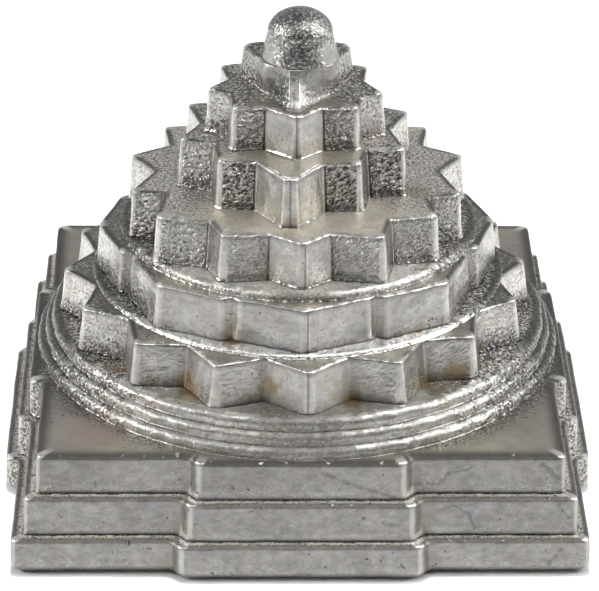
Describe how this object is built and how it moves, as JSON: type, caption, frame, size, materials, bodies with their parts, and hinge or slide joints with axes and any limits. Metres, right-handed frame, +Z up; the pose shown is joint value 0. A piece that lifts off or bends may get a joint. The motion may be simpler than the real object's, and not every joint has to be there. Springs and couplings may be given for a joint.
{
  "type": "meru shri yantra",
  "caption": "Small cast devotional pyramid: gated square steps, round plates, petal and star tiers, a triangle and a dome, stacked and held by a central tie rod.",
  "frame": {"origin": "centre of the underside of the square base", "axes": "+Z up the pyramid, -Y towards the front point of the tiers, +X to the right seen from the front"},
  "size_m": [0.042, 0.042, 0.0338],
  "materials": {
    "base_metal": "satin cast white metal with small pits and dull stains",
    "plate_metal": "gritty as-cast white metal",
    "tier_metal": "grainy as-cast white metal with ochre tarnish in its corners",
    "dome_metal": "mottled cast white metal, worn smooth",
    "hardware_steel": "plain steel"
  },
  "bodies": {
    "root": {"base_step_lower": "base_metal", "base_step_middle": "base_metal", "base_step_upper": "base_metal", "round_plate_lower": "plate_metal", "round_plate_middle": "plate_metal", "round_plate_upper": "plate_metal", "sixteen_petal_tier": "tier_metal", "lower_ledge_disc": "plate_metal", "eight_petal_tier": "tier_metal", "upper_ledge_disc": "plate_metal", "fourteen_point_tier": "tier_metal", "ten_point_tier": "tier_metal", "eight_point_tier": "tier_metal", "triangle_tier": "tier_metal", "bindu_dome": "dome_metal", "tie_rod": "hardware_steel", "rod_washer": "hardware_steel", "rod_nut": "hardware_steel"}
  },
  "joints": []
}
